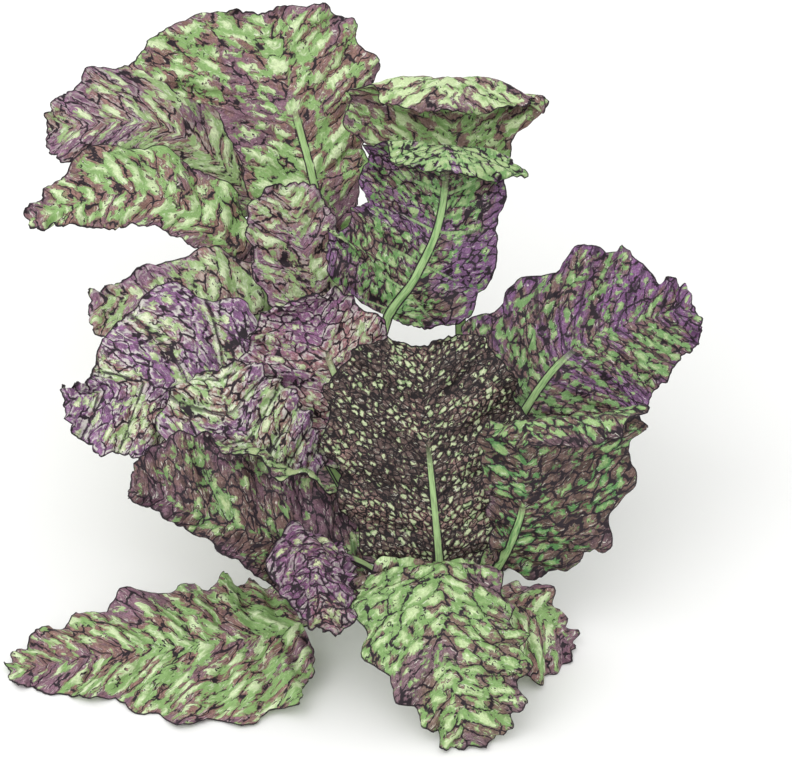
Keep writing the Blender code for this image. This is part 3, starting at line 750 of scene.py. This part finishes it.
smallestBlister = (8.0, 6.0)      # mm, length and width, however fine a skin's cells are
leafFinish = {"specular": 0.3, "bumpStrength": 0.45, "bumpDepth": 0.9 * mm}


def bumped(tree, shader, height, strength, distance):
    bump = tree.nodes.new("ShaderNodeBump")
    feed(tree, bump.inputs["Strength"], strength)
    feed(tree, bump.inputs["Distance"], distance)
    feed(tree, bump.inputs["Height"], height)
    feed(tree, shader.inputs["Normal"], bump.outputs["Normal"])


def makeSkin(name, values, group):
    skin = bpy.data.materials.new(name)
    skin.use_nodes = True
    tree = skin.node_tree
    shader = tree.nodes["Principled BSDF"]
    pattern = tree.nodes.new("ShaderNodeGroup")
    pattern.node_tree = group
    for key, value in values.items():
        pattern.inputs[key].default_value = value
    feed(tree, shader.inputs["Base Color"], pattern.outputs["Colour"])
    feed(tree, shader.inputs["Roughness"], pattern.outputs["Roughness"])
    bumped(tree, shader, pattern.outputs["Height"], leafFinish["bumpStrength"],
           leafFinish["bumpDepth"])
    shader.inputs["Specular IOR Level"].default_value = leafFinish["specular"]
    return skin


leafSkin = leafSkinTree()
skins = {name: makeSkin(name, values, leafSkin) for name, values in skinValues.items()}
blisters = blisterTree()
print("skins:", ", ".join(skins))


# The leaves, from the back to the front

leafNames = []


def makeLeaf(name, node, slot, skin, blister, root, stations, blade, widths, heading, **more):
    leafNames.append(name)
    leaf = {**leafUsual, "name": name, "root": root, "stations": stations, "blade": blade,
            "widths": widths, "heading": heading, "seed": len(leafNames), **more}
    source = bpy.data.objects.new(name + "Sheet", leafMesh(leaf))
    bpy.context.scene.collection.objects.link(source)
    values = skinValues[skin]
    piece = grownWith(blisters, source, name, {
        "Blister Height": blister, "Cell Length": max(values["Cell Length"], smallestBlister[0]),
        "Cell Width": max(values["Cell Width"], smallestBlister[1]), "Wander": values["Wander"],
        "Skin": skins[skin]})
    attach(piece, "root")
    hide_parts(node)


makeLeaf("backTallLeaf", "leaf_back_tall", "leaf_green", "lightSkin", 1.5, (102, 17),
         ((-28, 100, 36), (-55, 179, 58), (-82, 290, 64), (-107, 374, 58)), 152, (80, 54),
         (112, 112), roll=(-4, -4), cup=(10, 6), pleats=8, phase=0.3, paleRib=(1, 0),
         notch=(14, 0), trim=((0.5, 0.52, 0.55, 0.58, 0.6, 0.52, 0.6, 1.2, 1.3, 1.0, 0.9),
                              (0.45, 0.6, 0.72, 1.0, 1.1, 0.9)))
makeLeaf("backCurledLeaf", "leaf_back_curled", "leaf_green", "rolledSkin", 1.3, (70, 17),
         ((13, 100, 32), (13, 182, 44), (10, 262, 46), (6, 330, 42), (6, 368, 38)), 150,
         (62, 62), (90, 86), cup=(14, 30), curl=165, curlLength=58, phase=0.2, base=0.9, fan=1.3,
         trim=((0.4, 0.6, 0.8, 1, 0.95, 1),
               (0.3, 0.35, 0.42, 0.48, 0.52, 0.62, 0.95, 1.02, 1.15, 1.2, 1.2)))
makeLeaf("backFoldedLeaf", "leaf_back_folded", "leaf_purple", "duskSkin", 1.0, (86, 27),
         ((-26, 100, 6), (-35, 174, 16), (-14, 212, 14), (1, 250, 12), (7, 320, 14)), 142,
         (63, 43), (92, 88), cup=(8, 20), curl=165, curlLength=52, phase=0.3, base=0.75,
         fan=1.3, paleRib=(1, 0.1),
         trim=((1.5, 1.9, 1.75, 1.12, 0.86, 0.76, 0.75, 0.78, 0.74, 0.8, 0.9),
               (1.1, 1.12, 1.15, 1.12, 1.05, 0.82, 0.74, 0.85, 1.3, 2.1, 2.9)))
makeLeaf("farLeftUpperLeaf", "leaf_far_left_upper", "leaf_green", "russetSkin", 1.3, (132, 18),
         ((-50, 100, 48), (-86, 190, 80), (-122, 268, 100), (-176, 308, 106), (-244, 306, 104)),
         155, (38, 40), (130, 178), roll=(-20, -30), cup=(6, 8), phase=0.4, base=0.8, veinLean=0.9,
         trim=((1, 1, 1, 1, 1, 1), (1, 1, 1, 1, 0.8, 0.8)))
makeLeaf("farLeftLowerLeaf", "leaf_far_left_lower", "leaf_green", "lightSkin", 0.8, (146, 9),
         ((-62, 90, 30), (-104, 170, 50), (-134, 236, 66), (-190, 264, 74), (-253, 247, 76)),
         155, (30, 32), (135, 182), roll=(-20, -28), cup=(-4, 6), phase=3.3, base=0.8,
         trim=((0.6, 0.6, 0.62, 0.72, 0.4, 0.3), (1, 1, 1, 1, 0.65, 0.5)))
makeLeaf("leftBackLeaf", "leaf_left_back", "leaf_green", "russetSkin", 1.3, (160, 18),
         ((-60, 90, 14), (-98, 154, 20), (-148, 198, 24), (-212, 197, 28)), 125, (36, 38),
         (140, 185), roll=(-24, -30), cup=(-4, 8), phase=3.0, base=0.8,
         trim=((1, 1, 1, 1, 1, 1), (1, 1.4, 1.25, 0.45, 0.28, 0.35)))
makeLeaf("youngLeftLeaf", "leaf_young_left", "leaf_green", "russetSkin", 1.0, (118, 27),
         ((-42, 105, 20), (-74, 200, 34), (-93, 268, 40)), 100, (34, 22), (115, 115),
         cup=(10, 10), pleats=6, phase=0.1, base=0.8)
makeLeaf("leftBroadLeaf", "leaf_left_broad", "leaf_purple", "mixedSkin", 1.6, (150, 27),
         ((-50, 86, -4), (-98, 128, -14), (-160, 148, -18), (-224, 136, -26)), 156, (54, 56),
         (155, 180), roll=(-30, -34), cup=(6, 8), phase=3.1, pleats=8, base=0.8,
         trim=((1, 1, 1, 0.95, 0.85, 0.9), (1, 1, 1, 1, 1, 1, 0.95, 0.55, 0.1, 0.3, 0.8)))
makeLeaf("leftFanLeaf", "leaf_left_fan", "leaf_purple", "fanSkin", 1.4, (172, 35),
         ((-39, 59, -26), (-94, 94, -44), (-122, 128, -42), (-131, 155, -38)), 94, (54, 56),
         (150, 114), roll=(-20, -22), cup=(8, 8), fan=1.6, phase=0.2, base=0.7,
         trim=((1, 1, 0.9, 0.8, 0.8, 0.9), (0.8, 0.75, 0.68, 0.6, 0.6, 0.8)))
makeLeaf("leftHoodLeaf", "leaf_left_trough", "leaf_dark", "dimShadedSkin", 1.3, (188, 25),
         ((-44, 28, -40), (-104, 56, -70), (-181, 87, -88)), 158, (34, 74), (182, 182),
         roll=(-26, -30), cup=(4, 34), fold=(0, 130), crease=(0.5, 0.8), phase=2.9, base=0.8,
         ruffle=1.5, trim=((1.2, 1.1, 0.9, 0.35, 0.3, 0.5), (0.4, 0.65, 0.9, 0.8, 0.65, 0.6)))
makeLeaf("innerLeftLeaf", "leaf_inner_left", "leaf_purple", "innerSkin", 1.3, (134, 35),
         ((-30, 85, -12), (-60, 145, -18), (-82, 204, -14)), 112, (48, 48), (125, 118),
         roll=(-18, -20), cup=(8, 8), curl=70, curlLength=30, phase=3.4, base=0.8, paleRib=(1, 0),
         trim=((1, 1, 1, 1, 1, 1), (1, 1, 0.95, 0.75, 0.55, 0.6)))
makeLeaf("heartLeaf", "leaf_heart", "leaf_dark", "heartSkin", 0.9, (272, 38),
         ((-2, 56, -44), (-8, 116, -62), (-12, 168, -76)), 146, (57, 54), (90, 90), notch=(9, 9),
         phase=0.3, pleat=1.6, base=0.75, paleRib=(1, -0.1),
         trim=((1, 1, 1, 1, 1, 1), (0.7, 0.8, 1, 1, 1, 1)))
makeLeaf("rightBroadLeaf", "leaf_right_broad", "leaf_purple", "plumSkin", 1.3, (50, 27),
         ((26, 70, -14), (50, 130, -18), (88, 172, -12), (152, 192, -8)), 154, (57, 64),
         (58, 30), roll=(20, 26), cup=(6, 8), pleats=9, phase=3.0, base=0.7,
         paleRib=(1, -0.4), veinsPerPleat=2,
         trim=((2.3, 2.4, 1.9, 1.35, 1.02, 0.88, 0.93, 0.9, 0.45, 0.65, 0.9),
               (1, 1, 1, 0.85, 0.55, 0.7)))
makeLeaf("rightInnerLeaf", "leaf_right_inner", "leaf_dark", "shadedHollowSkin", 1.2, (8, 34),
         ((33, 37, -31), (48, 76, -68), (48, 124, -92), (46, 156, -98)), 138, (24, 85),
         (80, 92), cup=(10, -8), curl=150, curlLength=48, phase=3.2, base=0.7, fan=1.3,
         paleRib=(1, -1.2),
         trim=((0.4, 0.5, 0.9, 1, 1, 1), (1.0, 0.72, 0.7, 0.7, 1.0, 1.3)))
makeLeaf("frontDroopingLeaf", "leaf_front_drooping", "leaf_green", "frontSkin", 1.4, (268, 26),
         ((-2, 30, -52), (0, 41, -78), (2, -6, -102), (16, -64, -94)), 124, (48, 56),
         (270, 272), cup=(-10, -14), fan=1.9, pleats=8, phase=0.2, base=0.6, lies=True,
         trim=((0.9, 0.9, 0.9, 0.9, 0.8, 0.8), (1.5, 1.35, 0.98, 0.54, 0.36, 0.5)))
makeLeaf("frontRightLeaf", "leaf_front_right", "leaf_green", "lightSkin", 1.1, (314, 20),
         ((22, 20, -40), (52, 13, -40), (79, -12, -22)), 84, (17, 38), (322, 315),
         roll=(-18, -10), cup=(-8, -8), fan=1.7, phase=0.1, base=0.7, lies=True,
         trim=((2.2, 2.3, 1.6, 1.0, 0.8, 1), (1, 1, 1, 1, 0.9, 0.9)))
makeLeaf("frontSmallLeaf", "leaf_front_small", "leaf_purple", "wineSkin", 1.0, (228, 25),
         ((-28, 28, -44), (-54, 45, -62), (-72, 43, -90), (-66, 4, -112)), 78, (20, 34),
         (215, 262), roll=(-20, -24), cup=(-10, -10), phase=3.3, base=0.7,
         trim=((1, 1, 1, 1, 1, 1), (0.7, 0.8, 0.85, 0.65, 0.35, 0.4)))
makeLeaf("frontLeftLongLeaf", "leaf_front_left_long", "leaf_green", "lightSkin", 1.5, (206, 9),
         ((-40, 16, -24), (-114, -4, -40), (-186, -12, -37), (-255, -24, -38)), 176, (62, 52),
         (196, 184), roll=(-12, -14), cup=(-4, -6), pleats=9, phase=0.2, base=0.5, lies=True,
         veinLean=0.8, trim=((1.0, 1.25, 1.0, 0.55, 0.35, 0.35), (1.2, 1.2, 0.95, 0.72, 0.5, 0.5)))
makeLeaf("rearLeftLeaf", "leaf_rear_left", "leaf_green", "lightSkin", 1.2, (110, 7),
         ((-26, 26, 60), (-54, 64, 108), (-78, 104, 146)), 125, (48, 44), (118, 115),
         cup=(-8, -8), phase=0.1, lies=True)
makeLeaf("rearRightLeaf", "leaf_rear_right", "leaf_green", "lightSkin", 1.2, (62, 7),
         ((24, 28, 56), (48, 62, 96), (72, 94, 124)), 110, (42, 44), (62, 64), cup=(-8, -8),
         phase=0.2, lies=True)
print("leaves:", len(leafNames))


# The crown that carries them, turned, with the scars of leaves already picked

crownLook = {
    "sides": 96,
    "rings": 60,
    "scarDepth": 0.45,
    "scarSpacing": 7.0,      # mm up the wall
    "cutEdge": (0.2 * mm, 0.6 * mm),
    "bumpStrength": 0.4,
    "bumpDepth": 0.6 * mm,
    "wall": paint(186, 204, 150),
    "streak": paint(140, 160, 100),
    "cut": paint(206, 212, 176),
}


def makeCrown():
    profile = np.array(crownProfile)
    step = np.concatenate([[0], np.cumsum(np.linalg.norm(np.diff(profile, axis=0), axis=1))])
    walk = np.linspace(0, step[-1], crownLook["rings"])[1:-1]
    radius, height = (np.interp(walk, step, profile[:, k]) for k in (0, 1))
    angle = np.linspace(0, 2 * math.pi, crownLook["sides"], endpoint=False)
    height, angle = np.meshgrid(height, angle, indexing="ij")
    onWall = smooth((height - 1.0) / 4.0) * smooth((38 - height) / 4.0)
    wander = 0.8 * np.sin(angle * 3 + height / 6)
    scars = np.abs(np.sin(height / crownLook["scarSpacing"] * math.pi + wander)) ** 6
    radius = radius[:, None] * np.ones_like(angle) - crownLook["scarDepth"] * scars * onWall
    points = np.stack([radius * np.cos(angle), radius * np.sin(angle), height], axis=2)
    points = np.vstack([[0, 0, crownProfile[0][1]], points.reshape(-1, 3), [0, 0, 0]]) * mm
    count, sides = len(walk), crownLook["sides"]
    ids = 1 + np.arange(count * sides).reshape(count, sides)
    nextIds = np.roll(ids, -1, axis=1)
    quads = np.stack([ids[:-1], ids[1:], nextIds[1:], nextIds[:-1]], axis=2).reshape(-1, 4)
    last = len(points) - 1
    caps = [(0, int(a), int(b)) for a, b in zip(ids[0], nextIds[0])]
    caps += [(last, int(b), int(a)) for a, b in zip(ids[-1], nextIds[-1])]
    mesh = bpy.data.meshes.new("crownStem")
    mesh.from_pydata(points.tolist(), [], quads.tolist() + caps)
    mesh.shade_smooth()
    piece = bpy.data.objects.new("crownStem", mesh)
    bpy.context.scene.collection.objects.link(piece)

    skin = bpy.data.materials.new("crownSkin")
    skin.use_nodes = True
    tree = skin.node_tree
    shader = tree.nodes["Principled BSDF"]
    place = tree.nodes.new("ShaderNodeTexCoord").outputs["Object"]
    fibre = noise(tree, stretched(tree, place, mm, mm, 6 * mm), 1.0)
    patches = noise(tree, stretched(tree, place, 8 * mm, 8 * mm, 10 * mm), 1.0)
    split = tree.nodes.new("ShaderNodeSeparateXYZ")
    feed(tree, split.inputs[0], place)
    colour = mixed(tree, rise(tree, patches, 0.35, 0.65), crownLook["wall"], crownLook["cut"])
    low, high = crownLook["cutEdge"]
    cut = rise(tree, split.outputs["Z"], high, low)
    colour = mixed(tree, cut, colour, crownLook["cut"])
    colour = mixed(tree, rise(tree, fibre, 0.5, 0.75), colour, crownLook["streak"])
    feed(tree, shader.inputs["Base Color"], colour)
    feed(tree, shader.inputs["Roughness"], calc(tree, "MULTIPLY_ADD", fibre, 0.2, 0.45))
    bumped(tree, shader, fibre, crownLook["bumpStrength"], crownLook["bumpDepth"])
    mesh.materials.append(skin)
    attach(piece, "root")
    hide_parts("crown")


makeCrown()
print("crown turned")
